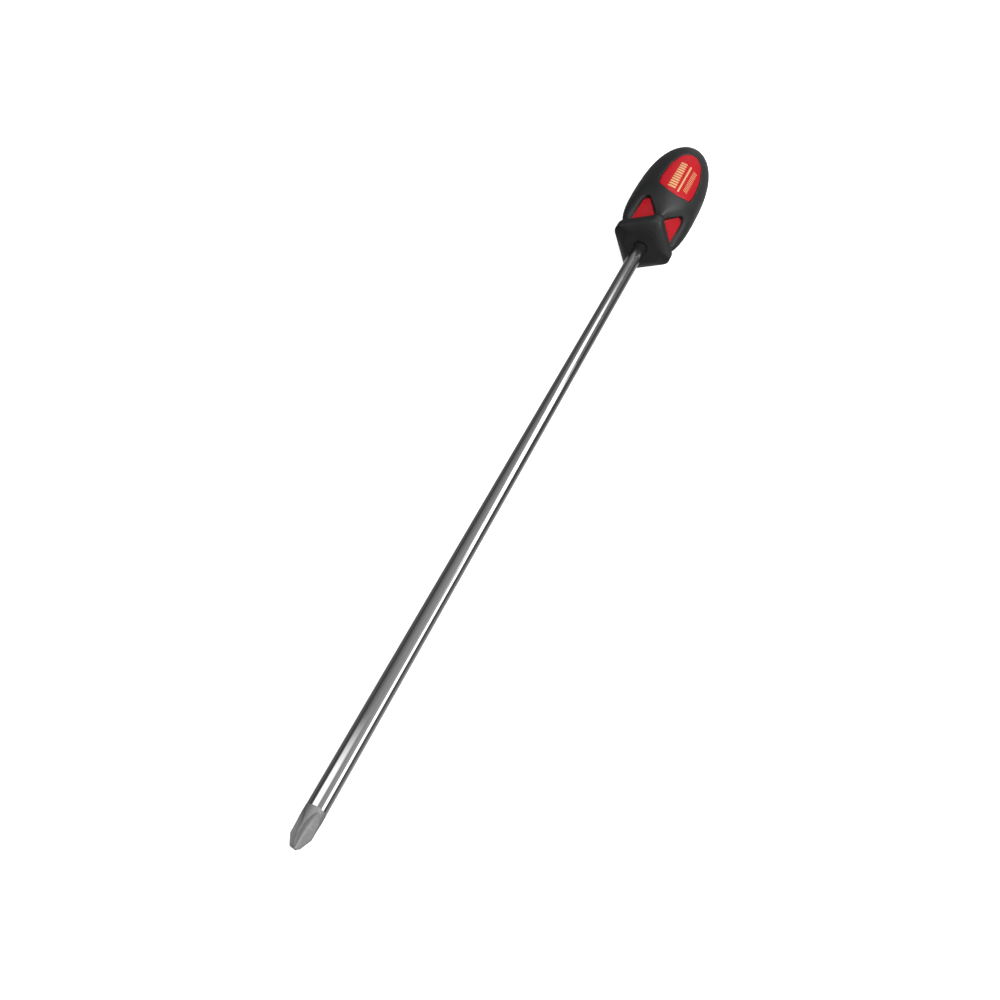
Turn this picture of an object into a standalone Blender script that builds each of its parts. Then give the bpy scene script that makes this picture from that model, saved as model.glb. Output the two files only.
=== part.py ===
"""A long number 3 Phillips screwdriver: a forged blade, a hard red core and a soft black grip moulded over.

Metres, +Z up. The tool lies along X with its tip towards +X. The origin is the centre of the flat disc that
closes the butt of the handle, and the two shield-shaped panels of the palm swell face +Z and -Z. Distances
called depth are measured back from the front face of the handle, towards the butt.
"""

import math

import bmesh
import bpy
from mathutils import Matrix, Vector

# Overall
HANDLE_LENGTH = 0.1225
SHANK_DIAMETER = 0.00794  # 5/16 in bar
SHANK_REACH = 0.4064  # front face of the handle to the end of the point, 16 in
FIT_GAP = 0.0003  # between any two pieces that meet

# Outside of the handle. A section is a rounded square: its flats look at 45 degrees between the axes.
FLANGE_FLAT = 0.0146  # axis to flat
FLANGE_CORNER = 0.0188  # axis to rounded corner
FACE_RADIUS = 0.0095  # of the round flat face that the shank comes out of
SHOULDER_DEPTH = 0.0045  # of the sloping shoulder from the face out to the flange
SHOULDER_POWER = 1.7  # how much the shoulder rounds off
FLANGE_BACK = 0.0100  # depth at which the flange starts to fall to the neck
NECK_DEPTH = 0.0148
NECK_FLAT = 0.0128
NECK_CORNER = 0.0174
PALM_DEPTH = 0.0600
PALM_RADIUS = 0.0213
PALM_PRESS = 0.05  # how much the palm swell is pressed flat towards +Z and -Z
BUTT_RADIUS = 0.0085  # flat ring and disc at the end of the handle
BUTT_POWER = 2.4  # fullness of the rounded end
CORNER_RISE = (3.2, 1.0)  # shape of the climb from neck to palm along the corners
FLAT_RISE = (2.8, 1.4)  # and along the flats

# Inside of the grip
GRIP_WALL = 0.0030
FRONT_WALL = 0.0035
BUTT_WALL = 0.0032
BUTT_OPENING = 0.0062
SHANK_OPENING = SHANK_DIAMETER / 2 + 0.0004  # radius of the hole in the front wall
MIN_CORNER = 0.0004

# Openings of the grip, filled by raised pads of the core
WINDOW_AZIMUTH = math.radians(46.5)
WINDOW_BASE = 0.0142  # depth of the triangle's base
WINDOW_LENGTH = 0.0230  # before its corner towards the butt is rounded
WINDOW_HALF_WIDTH = 0.0100
WINDOW_BASE_ROUNDING = 0.0028
WINDOW_TIP_ROUNDING = 0.0031
WINDOW_RECESS = 0.0018
# One half of the shield, from its base round to its top: depth, distance to the side, rounding
SHIELD_CORNERS = (
    (0.0380, 0.0032, 0.0060),
    (0.0447, 0.0109, 0.0035),
    (0.0530, 0.0119, 0.0120),
    (0.0720, 0.0108, 0.0250),
    (0.0885, 0.0074, 0.0090),
    (0.0958, 0.0024, 0.0040),
)
SHIELD_RECESS = 0.0002

# Blade
TANG_LENGTH = 0.0780
TANG_CHAMFER = 0.0008
WING_DEPTH = 0.0560
WING_LENGTH = 0.0140
WING_SPAN = 0.0130
WING_THICKNESS = 0.0024
BLUNT_RADIUS = 0.0019  # number 3 point
BLUNT_FLAT_RADIUS = 0.0009
BLUNT_RISE = 0.0003
POINT_HALF_ANGLE = math.radians(26.5)
FLUTE_HALF_ANGLE = math.radians(46)
FLUTE_SLOPE = math.radians(5.75)
FLUTE_START = 0.00070  # axis to the bottom of a flute at the end of the point
FLUTE_STRAIGHT = 0.0065
FLUTE_RUN_OUT_RADIUS = 0.0110
FLUTE_LENGTH = 0.0131
FLUTE_AZIMUTH = math.radians(17)  # of the first flute, from +Z towards +Y
FLUTE_HEIGHT = 0.0060

# Cutters
WINDOW_FOOT_DEPTH = 0.0053  # below the flats of the neck, where the window prisms start
SHIELD_FOOT = 0.0110  # radius where the shield prisms start
PRISM_TOP = 0.0250
OVERSHOOT = 0.0020

# Fineness
SECTION_POINTS = 40
SHANK_POINTS = 32
FLUTE_STEPS = 5
MIN_STEP = 0.0005

SHANK_RADIUS = SHANK_DIAMETER / 2
TIP_X = HANDLE_LENGTH + SHANK_REACH

# Where the sections of the handle lie: as angles round the flange's fillet, then as parts of each stretch
SHOULDER_STEPS = (0, 0.2, 0.45, 0.7, 1)
FLANGE_STEPS = (0.5, 1.0)
NECK_STEPS = (0.3, 0.65, 1.0)
SWELL_STEPS = (0.07, 0.15, 0.25, 0.36, 0.48, 0.62, 0.8, 1.0)
END_STEPS = (0.18, 0.36, 0.52, 0.66, 0.78, 0.87, 0.93, 0.97, 1.0)


def add_object(name, mesh, collection):
    obj = bpy.data.objects.new(name, mesh)
    collection.objects.link(obj)
    if collection is cutters:
        obj.hide_render = True
        obj.display_type = "WIRE"
    return obj


def add_boolean(obj, operand, operation):
    modifier = obj.modifiers.new(operand.name, "BOOLEAN")
    modifier.operation = operation
    modifier.object = operand


def mesh_from(name, build):
    """A mesh filled in by build(bm), with its faces turned outwards."""
    bm = bmesh.new()
    build(bm)
    bmesh.ops.recalc_face_normals(bm, faces=bm.faces)
    mesh = bpy.data.meshes.new(name)
    bm.to_mesh(mesh)
    bm.free()
    return mesh


def shade(obj, sharp_angle=35):
    obj.data.shade_smooth()
    obj.data.set_sharp_from_angle(angle=math.radians(sharp_angle))


def add_material(obj, colour, roughness, metallic=0.0):
    material = bpy.data.materials.new(obj.name)
    material.use_nodes = True
    shader = material.node_tree.nodes["Principled BSDF"]
    shader.inputs["Base Color"].default_value = (*colour, 1.0)
    shader.inputs["Roughness"].default_value = roughness
    shader.inputs["Metallic"].default_value = metallic
    obj.data.materials.clear()
    obj.data.materials.append(material)


def loft_depths():
    depths = [SHOULDER_DEPTH * step for step in SHOULDER_STEPS]
    stretches = (
        (SHOULDER_DEPTH, FLANGE_BACK, FLANGE_STEPS),
        (FLANGE_BACK, NECK_DEPTH, NECK_STEPS),
        (NECK_DEPTH, PALM_DEPTH, SWELL_STEPS),
        (PALM_DEPTH, HANDLE_LENGTH, END_STEPS),
    )
    for start, end, steps in stretches:
        depths += [start + (end - start) * step for step in steps]
    return depths


def rise(t, shape):
    power, ease = shape
    return (1 - (1 - t) ** power) ** ease


def handle_profile(depth):
    """Distances from the axis to the flats and to the corners of the section at this depth."""
    if depth < SHOULDER_DEPTH:
        t = 1 - (1 - depth / SHOULDER_DEPTH) ** SHOULDER_POWER
        return FACE_RADIUS + (FLANGE_FLAT - FACE_RADIUS) * t, FACE_RADIUS + (FLANGE_CORNER - FACE_RADIUS) * t
    if depth <= FLANGE_BACK:
        return FLANGE_FLAT, FLANGE_CORNER
    if depth <= NECK_DEPTH:
        t = (1 - math.cos(math.pi * (depth - FLANGE_BACK) / (NECK_DEPTH - FLANGE_BACK))) / 2
        flat = FLANGE_FLAT + (NECK_FLAT - FLANGE_FLAT) * t
        return flat, FLANGE_CORNER + (NECK_CORNER - FLANGE_CORNER) * t
    if depth < PALM_DEPTH:
        t = (depth - NECK_DEPTH) / (PALM_DEPTH - NECK_DEPTH)
        flat = NECK_FLAT + (PALM_RADIUS - NECK_FLAT) * rise(t, FLAT_RISE)
        corner = NECK_CORNER + (PALM_RADIUS - NECK_CORNER) * rise(t, CORNER_RISE)
        return flat, corner
    reach = (HANDLE_LENGTH - PALM_DEPTH) / (1 - (BUTT_RADIUS / PALM_RADIUS) ** 2) ** (1 / BUTT_POWER)
    radius = PALM_RADIUS * math.sqrt(1 - ((depth - PALM_DEPTH) / reach) ** BUTT_POWER)
    return radius, radius


def section(depth, inset):
    """Points of the handle's section, moved in by the inset, starting at +Z and turning towards +Y."""
    flat, corner = handle_profile(depth)
    rounding = (math.sqrt(2) * flat - corner) / (math.sqrt(2) - 1) - inset
    rounding = max(rounding, MIN_CORNER)
    flat -= inset
    straight = max(flat - rounding, 0.0)
    press = 1 - PALM_PRESS * min(max((depth - NECK_DEPTH) / (PALM_DEPTH - NECK_DEPTH), 0.0), 1.0)
    points = []
    for i in range(SECTION_POINTS):
        azimuth = 2 * math.pi * i / SECTION_POINTS
        off_flat = abs(azimuth % (math.pi / 2) - math.pi / 4)
        if math.tan(off_flat) * flat <= straight:
            radius = flat / math.cos(off_flat)
        else:
            reach = straight * (math.cos(off_flat) + math.sin(off_flat))
            radius = reach + math.sqrt(max(reach**2 - 2 * straight**2 + rounding**2, 0.0))
        x = HANDLE_LENGTH - depth
        points.append(Vector((x, radius * math.sin(azimuth), radius * math.cos(azimuth) * press)))
    return points


def loft_mesh(name, rings):
    """A closed body through rings of points, all with the same number of points, with flat ends."""

    def build(bm):
        loops = [[bm.verts.new(p) for p in ring] for ring in rings]
        for a, b in zip(loops, loops[1:]):
            for i in range(len(a)):
                j = (i + 1) % len(a)
                bm.faces.new((a[i], a[j], b[j], b[i]))
        bm.faces.new(loops[0])
        bm.faces.new(loops[-1])

    return mesh_from(name, build)


def handle_loft(name, inset, front, back, collection):
    """The handle's outer form moved in by the inset, between two depths."""
    between = [d for d in loft_depths() if front + MIN_STEP < d < back - MIN_STEP]
    depths = [front] + between + [back]
    return add_object(name, loft_mesh(name, [section(d, inset) for d in depths]), collection)


def rounded_outline(corners, gap):
    """Replaces each corner (x, y, radius) of a convex outline by an arc, then draws it all in by the gap."""
    points = []
    count = len(corners)
    for i, (x, y, radius) in enumerate(corners):
        here = Vector((x, y))
        before = (Vector(corners[i - 1][:2]) - here).normalized()
        after = (Vector(corners[(i + 1) % count][:2]) - here).normalized()
        half = before.angle(after) / 2
        centre = here + (before + after).normalized() * (radius / math.sin(half))
        start = (here + before * (radius / math.tan(half)) - centre).normalized() * (radius - gap)
        turn = math.pi - 2 * half
        steps = max(2, round(turn / math.radians(18)))
        way = 1 if before.cross(after) < 0 else -1
        for k in range(steps + 1):
            points.append(centre + start @ Matrix.Rotation(-way * turn * k / steps, 2))
    return points


def prism(name, outline, inner, outer, azimuth):
    """An outline (depth, sideways) carried out from the axis at this azimuth, between two radii."""
    curve = bpy.data.curves.new(name, "CURVE")
    curve.dimensions = "2D"
    curve.fill_mode = "BOTH"
    curve.extrude = (outer - inner) / 2
    spline = curve.splines.new("POLY")
    spline.points.add(len(outline) - 1)
    for point, (depth, side) in zip(spline.points, outline):
        point.co = (HANDLE_LENGTH - depth, side, (inner + outer) / 2, 1.0)
    spline.use_cyclic_u = True
    guide = bpy.data.objects.new(name, curve)
    cutters.objects.link(guide)
    guide.matrix_world = Matrix.Rotation(-azimuth, 4, "X")
    bpy.context.view_layer.update()
    mesh = bpy.data.meshes.new_from_object(guide.evaluated_get(bpy.context.evaluated_depsgraph_get()))
    placed = guide.matrix_world.copy()
    bpy.data.objects.remove(guide)
    bm = bmesh.new()
    bm.from_mesh(mesh)
    bmesh.ops.remove_doubles(bm, verts=bm.verts, dist=0.00001)
    bmesh.ops.recalc_face_normals(bm, faces=bm.faces)
    bm.to_mesh(mesh)
    bm.free()
    obj = add_object(name, mesh, cutters)
    obj.matrix_world = placed
    return obj


def cylinder(name, radius, x_start, x_end, collection):
    def build(bm):
        place = Matrix.Translation(((x_start + x_end) / 2, 0, 0)) @ Matrix.Rotation(math.pi / 2, 4, "Y")
        bmesh.ops.create_cone(
            bm,
            cap_ends=True,
            segments=SHANK_POINTS,
            radius1=radius,
            radius2=radius,
            depth=x_end - x_start,
            matrix=place,
        )

    return add_object(name, mesh_from(name, build), collection)


def box(name, centre, size, collection):
    def build(bm):
        place = Matrix.Translation(centre) @ Matrix.Diagonal((*size, 1.0))
        bmesh.ops.create_cube(bm, size=1.0, matrix=place)

    return add_object(name, mesh_from(name, build), collection)


def window_outline(gap):
    """A triangle across the flat between two corners of the neck, pointing to the butt."""
    base = [(WINDOW_BASE, side * WINDOW_HALF_WIDTH, WINDOW_BASE_ROUNDING) for side in (-1, 1)]
    tip = (WINDOW_BASE + WINDOW_LENGTH, 0.0, WINDOW_TIP_ROUNDING)
    return rounded_outline([base[0], tip, base[1]], gap)


def shield_outline(gap):
    """A shield with a curved base towards the tip of the tool and a round top towards the butt."""
    other_half = [(depth, -side, rounding) for depth, side, rounding in reversed(SHIELD_CORNERS)]
    return rounded_outline(list(SHIELD_CORNERS) + other_half, gap)


def opening_prisms(kind, gap):
    """The four windows and the two shields as prisms, drawn in by the gap."""
    window_foot = NECK_FLAT - WINDOW_FOOT_DEPTH
    windows = []
    shields = []
    for face in (0.0, math.pi):
        for side in (-1, 1):
            azimuth = face + side * WINDOW_AZIMUTH
            name = f"{kind}_window_{len(windows)}"
            windows.append(prism(name, window_outline(gap), window_foot, PRISM_TOP, azimuth))
        name = f"{kind}_shield_{len(shields)}"
        shields.append(prism(name, shield_outline(gap), SHIELD_FOOT, PRISM_TOP, face))
    return windows, shields


def make_grip():
    grip = handle_loft("grip", 0.0, 0.0, HANDLE_LENGTH, parts)
    cavity = handle_loft("grip_cavity", GRIP_WALL, FRONT_WALL, HANDLE_LENGTH - BUTT_WALL, cutters)
    butt_hole = cylinder("grip_butt_hole", BUTT_OPENING, -OVERSHOOT, BUTT_WALL + OVERSHOOT, cutters)
    wall_start = HANDLE_LENGTH - FRONT_WALL - OVERSHOOT
    shank_hole = cylinder("grip_shank_hole", SHANK_OPENING, wall_start, HANDLE_LENGTH + OVERSHOOT, cutters)
    add_boolean(grip, cavity, "DIFFERENCE")
    add_boolean(grip, butt_hole, "DIFFERENCE")
    add_boolean(grip, shank_hole, "DIFFERENCE")
    windows, shields = opening_prisms("grip", 0.0)
    for opening in windows + shields:
        add_boolean(grip, opening, "DIFFERENCE")
    add_material(grip, (0.012, 0.013, 0.013), 0.55)
    shade(grip)


def make_core():
    inset = GRIP_WALL + FIT_GAP
    front = FRONT_WALL + FIT_GAP
    back = HANDLE_LENGTH - BUTT_WALL - FIT_GAP
    core = handle_loft("handle_core", inset, front, back, parts)
    butt_disc = cylinder("core_butt_disc", BUTT_OPENING - FIT_GAP, 0.0, BUTT_WALL + OVERSHOOT, cutters)
    add_boolean(core, butt_disc, "UNION")
    windows, shields = opening_prisms("core", FIT_GAP)
    for pads, recess in ((windows, WINDOW_RECESS), (shields, SHIELD_RECESS)):
        for pad in pads:
            limit = handle_loft(f"{pad.name}_limit", recess, front, back, cutters)
            add_boolean(pad, limit, "INTERSECT")
            add_boolean(core, pad, "UNION")
    bore_back = HANDLE_LENGTH - TANG_LENGTH - FIT_GAP
    bore = cylinder("core_bore", SHANK_RADIUS + FIT_GAP, bore_back, HANDLE_LENGTH, cutters)
    wing_size = (WING_LENGTH + 2 * FIT_GAP, WING_SPAN + 2 * FIT_GAP, WING_THICKNESS + 2 * FIT_GAP)
    wing_slot = box("core_wing_slot", (wing_centre(), 0, 0), wing_size, cutters)
    add_boolean(core, bore, "DIFFERENCE")
    add_boolean(core, wing_slot, "DIFFERENCE")
    add_material(core, (0.62, 0.012, 0.028), 0.3)
    shade(core)


def wing_centre():
    return HANDLE_LENGTH - WING_DEPTH - WING_LENGTH / 2


def blade_profile():
    """Radius and height of the turned blade, from the end of the point back to the end of the tang."""
    cone_length = (SHANK_RADIUS - BLUNT_RADIUS) / math.tan(POINT_HALF_ANGLE)
    cone_top = TIP_X - BLUNT_RISE
    tang_end = HANDLE_LENGTH - TANG_LENGTH
    return [
        (0.0, TIP_X),
        (BLUNT_FLAT_RADIUS, TIP_X),
        (BLUNT_RADIUS, cone_top),
        (SHANK_RADIUS, cone_top - cone_length),
        (SHANK_RADIUS, tang_end + TANG_CHAMFER),
        (SHANK_RADIUS - TANG_CHAMFER, tang_end),
        (0.0, tang_end),
    ]


def flute_bottom(back):
    """Distance from the axis to the bottom of a flute, this far back from the end of the point."""
    height = FLUTE_START + back * math.tan(FLUTE_SLOPE)
    past = back - FLUTE_STRAIGHT
    if past > 0:
        height += FLUTE_RUN_OUT_RADIUS - math.sqrt(FLUTE_RUN_OUT_RADIUS**2 - past**2)
    return height


def flute_cutter(index):
    """A wedge along the blade whose edge climbs out of it at the back."""
    run_out = FLUTE_LENGTH - FLUTE_STRAIGHT
    backs = [-OVERSHOOT, FLUTE_STRAIGHT]
    backs += [FLUTE_STRAIGHT + run_out * k / FLUTE_STEPS for k in range(1, FLUTE_STEPS + 1)]
    rings = []
    for back in backs:
        bottom = flute_bottom(back)
        half_width = FLUTE_HEIGHT * math.tan(FLUTE_HALF_ANGLE)
        x = TIP_X - back
        top = bottom + FLUTE_HEIGHT
        rings.append([Vector((x, 0, bottom)), Vector((x, half_width, top)), Vector((x, -half_width, top))])
    cutter = add_object(f"flute_{index}", loft_mesh(f"flute_{index}", rings), cutters)
    cutter.rotation_euler.x = -FLUTE_AZIMUTH - index * math.pi / 2
    return cutter


def make_blade():
    def build(bm):
        verts = [bm.verts.new((radius, 0, height)) for radius, height in blade_profile()]
        for a, b in zip(verts, verts[1:]):
            bm.edges.new((a, b))

    blade = add_object("blade", mesh_from("blade", build), parts)
    blade.rotation_euler.y = math.pi / 2
    turn = blade.modifiers.new("turn", "SCREW")
    turn.steps = SHANK_POINTS
    turn.render_steps = SHANK_POINTS
    turn.use_merge_vertices = True
    turn.merge_threshold = 0.00001
    wings = box("tang_wings", (wing_centre(), 0, 0), (WING_LENGTH, WING_SPAN, WING_THICKNESS), cutters)
    add_boolean(blade, wings, "UNION")
    for index in range(4):
        add_boolean(blade, flute_cutter(index), "DIFFERENCE")
    add_material(blade, (0.62, 0.62, 0.63), 0.14, 1.0)
    shade(blade)


for old in list(bpy.data.objects):
    bpy.data.objects.remove(old)
parts = bpy.data.collections.new("screwdriver")
cutters = bpy.data.collections.new("cutters")
bpy.context.scene.collection.children.link(parts)
bpy.context.scene.collection.children.link(cutters)

make_blade()
make_core()
make_grip()
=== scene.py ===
"""Looks of the long screwdriver: fine meshes and materials for its blade, core and grip."""

import math

import bmesh
import bpy
from mathutils import Matrix, Vector
from mathutils.geometry import delaunay_2d_cdt


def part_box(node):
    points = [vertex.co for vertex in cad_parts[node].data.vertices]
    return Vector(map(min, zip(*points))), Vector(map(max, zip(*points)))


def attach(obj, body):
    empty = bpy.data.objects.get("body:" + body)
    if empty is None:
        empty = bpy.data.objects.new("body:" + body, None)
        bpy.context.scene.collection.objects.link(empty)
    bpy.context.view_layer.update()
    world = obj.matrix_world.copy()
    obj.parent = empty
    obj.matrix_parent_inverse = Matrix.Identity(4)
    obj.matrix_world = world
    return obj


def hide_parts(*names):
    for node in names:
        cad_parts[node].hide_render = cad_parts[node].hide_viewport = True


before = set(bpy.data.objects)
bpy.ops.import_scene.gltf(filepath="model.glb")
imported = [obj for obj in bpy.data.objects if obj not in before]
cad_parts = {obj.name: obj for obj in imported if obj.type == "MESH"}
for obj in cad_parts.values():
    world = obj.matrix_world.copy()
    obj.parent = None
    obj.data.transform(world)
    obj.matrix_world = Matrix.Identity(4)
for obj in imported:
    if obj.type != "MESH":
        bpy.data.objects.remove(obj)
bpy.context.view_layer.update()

MM = 0.001
ROOT2 = math.sqrt(2)
TINY = 1e-6
DELAUNAY_LIMIT = 1e-9

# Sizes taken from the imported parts. Depth is measured back from the front face of the handle.
grip_low, grip_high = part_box("grip")
blade_low, blade_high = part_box("blade")
HANDLE = grip_high.x
BUTT_X = grip_low.x
PALM_RADIUS = grip_high.y
TIP_X = blade_high.x
TANG_X = blade_low.x
SHANK_RADIUS = blade_high.z
WING_HALF = blade_high.y

# Outside of the handle, as in the part's own design
FLANGE_FLAT = 14.6 * MM
FLANGE_CORNER = 18.8 * MM
FACE_RADIUS = 9.5 * MM
SHOULDER_DEPTH = 4.5 * MM
SHOULDER_POWER = 1.7
FLANGE_BACK = 10.0 * MM
NECK_DEPTH = 14.8 * MM
NECK_FLAT = 12.8 * MM
NECK_CORNER = 17.4 * MM
PALM_DEPTH = 60.0 * MM
PALM_PRESS = 0.05
BUTT_RADIUS = 8.5 * MM
BUTT_POWER = 2.4
CORNER_RISE = (3.2, 1.0)
FLAT_RISE = (2.8, 1.4)
MIN_CORNER = 0.4 * MM

GRIP_WALL = 3.0 * MM
FRONT_WALL = 3.5 * MM
BUTT_WALL = 3.2 * MM
BUTT_OPENING = 6.2 * MM
SHANK_OPENING = 4.02 * MM
FIT = 0.1 * MM  # gap shown between the core and the grip

# Small roundings
HOLE_EDGE = 0.5 * MM  # of the shank's hole
BUTT_EDGE = 0.8 * MM  # of the grip round its butt
RING_EDGE = 0.3 * MM  # of the butt's opening
DISC_EDGE = 0.5 * MM  # of the core's disc in the butt
TANG_CHAMFER = 0.8 * MM
POINT_EDGE = 0.25 * MM  # where the point's cone meets the bar
POINT_EDGE_DROP = 0.02 * MM

WINDOW_AZIMUTH = math.radians(46.5)
WINDOW_BASE = 14.2 * MM
WINDOW_LENGTH = 23.0 * MM
WINDOW_HALF_WIDTH = 10.0 * MM
WINDOW_BASE_ROUNDING = 2.8 * MM
WINDOW_TIP_ROUNDING = 3.1 * MM
WINDOW_RECESS = 1.8 * MM
WINDOW_LIP = 0.6 * MM
WINDOW_PAD_EDGE = 0.3 * MM
# One half of the shield, from its base round to its top: depth, distance to the side, rounding
SHIELD_CORNERS = (
    (38.0 * MM, 3.2 * MM, 6 * MM),
    (44.7 * MM, 10.9 * MM, 3.5 * MM),
    (53.0 * MM, 11.9 * MM, 12 * MM),
    (72.0 * MM, 10.8 * MM, 25 * MM),
    (88.5 * MM, 7.4 * MM, 9 * MM),
    (95.8 * MM, 2.4 * MM, 4 * MM),
)
SHIELD_RECESS = 0.25 * MM
SHIELD_LIP = 0.5 * MM
SHIELD_PAD_EDGE = 0.7 * MM

# Fineness of the meshes
SHARP_ANGLE = math.radians(40)
POINT_SHARP_ANGLE = math.radians(28)
COLUMNS = 180
ROW = 0.8 * MM
HIDDEN_ROW = 1.6 * MM
POINT_ROW = 0.4 * MM
CONE_ROW = 0.25 * MM
BAR_ROW = 8 * MM
PAD_GRID = 0.9 * MM
EDGE_STEPS = 3  # of a small rounding
BUTT_EDGE_STEPS = (0.2, 0.4, 0.6, 0.8)
PAD_EDGE_STEPS = 4
PAD_FOOT = 1.0 * MM  # how far the pads reach into the core
FACE_STEPS = (0.1, 0.3, 0.5, 0.7, 0.9)
SHOULDER_STEPS = 12
SHADED_FACE_RINGS = 3  # of the shoulder that still have the front face's rubber: rougher, and darker as painted shade
LIP_STEPS = 5
FIELD_START = 12.0 * MM  # depths between which the openings lie
FIELD_END = 99.0 * MM
FIELD_SCALE = 18.0 * MM  # radius that turns azimuths into lengths while the field is meshed
FIELD_MARGIN = 0.35 * MM  # least distance of its grid from the openings' collars
COLLAR = 1.5 * MM  # width of the strip of quads round each opening

# Point of the blade
POINT_LENGTH = 14.3 * MM  # stretch without plating
BLUNT_RADIUS = 1.9 * MM
BLUNT_FLAT = 0.9 * MM
BLUNT_RISE = 0.3 * MM
POINT_HALF_ANGLE = math.radians(26.5)
FLUTE_HALF_ANGLE = math.radians(46)
FLUTE_SLOPE = math.radians(5.75)
FLUTE_START = 0.7 * MM
FLUTE_STRAIGHT = 6.5 * MM
FLUTE_RUN_OUT = 11.0 * MM
FLUTE_HOLLOW = 0.4 * MM  # roundness of a flute's bottom at the end of the point
FLUTE_WIDENING = 0.9 * MM  # and how much rounder it gets where it runs out
FLUTE_END = 12.8 * MM
FLUTE_AZIMUTH = math.radians(17)  # of the first flute, from +Z towards +Y
WING_DEPTH = 56.0 * MM
WING_LENGTH = 14.0 * MM
WING_THICKNESS = 2.4 * MM
WING_FRONT = HANDLE - WING_DEPTH
WING_BACK = WING_FRONT - WING_LENGTH
FLANK_STEPS = 14
LAND_STEPS = 6
HALVINGS = 45

# Gold marks: depth, distance to the side, length and width of the rule, then of the dashes
RULE = (59.9 * MM, 1.4 * MM, 35.5 * MM, 1.1 * MM)
WIDE_DASHES = 11
WIDE_DASH = (44.7 * MM, -3.2 * MM, 2.1 * MM, 5.1 * MM)
WIDE_DASH_PITCH = 3.2 * MM
WIDE_DASH_TAPER = 0.1 * MM  # by which each is narrower than the last
THIN_DASHES = 13
THIN_DASH = (48.0 * MM, 5.3 * MM, 0.8 * MM, 3.0 * MM)
THIN_DASH_PITCH = 2.2 * MM
MARK_HEIGHT = 0.03 * MM
MARK_FOOT = 0.05 * MM
MARK_EDGE = 0.02 * MM

# Colours
RUBBER = (0.0075, 0.0085, 0.0082)
DUSTY_RUBBER = (0.012, 0.0135, 0.013)
# Painted shade: the front face's rubber is a darker copy of the black rubber, standing in for the
# shade on that face
SHADED_FACE_RUBBER = (0.004, 0.004, 0.004)
DUSTY_SHADED_FACE_RUBBER = (0.007, 0.007, 0.007)
RED = (0.60, 0.004, 0.015)
DEEP_RED = (0.52, 0.003, 0.011)
CHROME = (0.72, 0.72, 0.73)
STEEL = (0.34, 0.34, 0.34)
DARK_STEEL = (0.25, 0.25, 0.25)
GOLD = (0.95, 0.62, 0.3)
WORN_GOLD = (0.85, 0.42, 0.16)
PALE = (0.9, 0.9, 0.9)
LESS_PALE = (0.88, 0.88, 0.88)

# Studio: brightness of the cards by roll angle about X in degrees, from up towards +Y.
# The spans and the lamp's power and lean go by the direction along X instead.
LEFT_CARDS = (
    (-180, 0.7),
    (-155, 0.45),
    (-136, 0.14),
    (-122, 0.1),
    (-107, 0.13),
    (-94, 0.055),
    (-76, 0.08),
    (-62, 0.15),
    (-14, 0.32),
    (180, 0.32),
)
RIGHT_CARDS = (
    (-180, 0.25),
    (-20, 0.2),
    (42, 0.15),
    (55, 0.08),
    (84, 0.06),
    (92, 0.13),
    (120, 0.3),
    (150, 0.5),
    (180, 0.7),
)
LAMP = ((-36, 0.0), (-20, 0.03), (-10, 1.0), (10, 1.0), (20, 0.03), (36, 0.0))
LAMP_LEVEL = 3.9
LAMP_POWER = ((-1.0, 0.0), (-0.83, 0.0), (-0.77, 1.0), (-0.4, 1.0), (-0.25, 0.2), (1.0, 0.2))
LAMP_LEAN = (
    (-0.85, 0.1),
    (-0.78, 0.24),
    (-0.73, 0.43),
    (-0.66, 0.63),
    (-0.61, 0.71),
    (-0.4, 0.79),
)
LAMP_LEAN_ROLL = (-30.0, 70.0)  # roll angles that a lean of 0 and of 1 stand for
PAST_LAMP = (-5.0, 20.0)  # roll past the lamp over which the left cards give way to the right ones
OVERHEAD_CARD = ((-70, 0.0), (-30, 1.1), (50, 1.1), (80, 0.0))
OVERHEAD_CARD_BACK_SPAN = ((0.4, 0.0), (0.5, 1.0), (0.7, 1.0), (0.8, 0.0))
OVERHEAD_CARD_SPAN = ((-0.33, 0.0), (-0.24, 1.0), (0.3, 1.0), (0.45, 0.0))
FRONT_CARD = ((-72, 0.0), (-60, 1.5), (-22, 1.5), (-6, 0.0))
FRONT_CARD_SPAN = ((-0.47, 0.0), (-0.41, 1.0), (-0.28, 1.0), (-0.12, 0.15))

# Camera: where it stands, the point it looks at, its turn about its own axis and its lens
CAMERA_PLACE = (0.6541, -0.0210, 0.3338)
CAMERA_AIM = (0.3518, 0.0020, 0.0)
CAMERA_ROLL = math.radians(35.6)
CAMERA_LENS = 36.84
SENSOR = 36.0
CAMERA_NEAR = 0.01

# Stage
FLOOR_REACH = 15.0
FLOOR_GRID = 8
FLOOR_GAP = 0.3 * MM
FLOOR_GLOW = 0.75
HEEL_DEPTH = 4.5 * MM  # where the tip touches the floor, back from its end
WALL_RADIUS = 14.0
WALL_HEIGHT = 24.0
WALL_SIDES = 96


# ---------------------------------------------------------------- meshes


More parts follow.
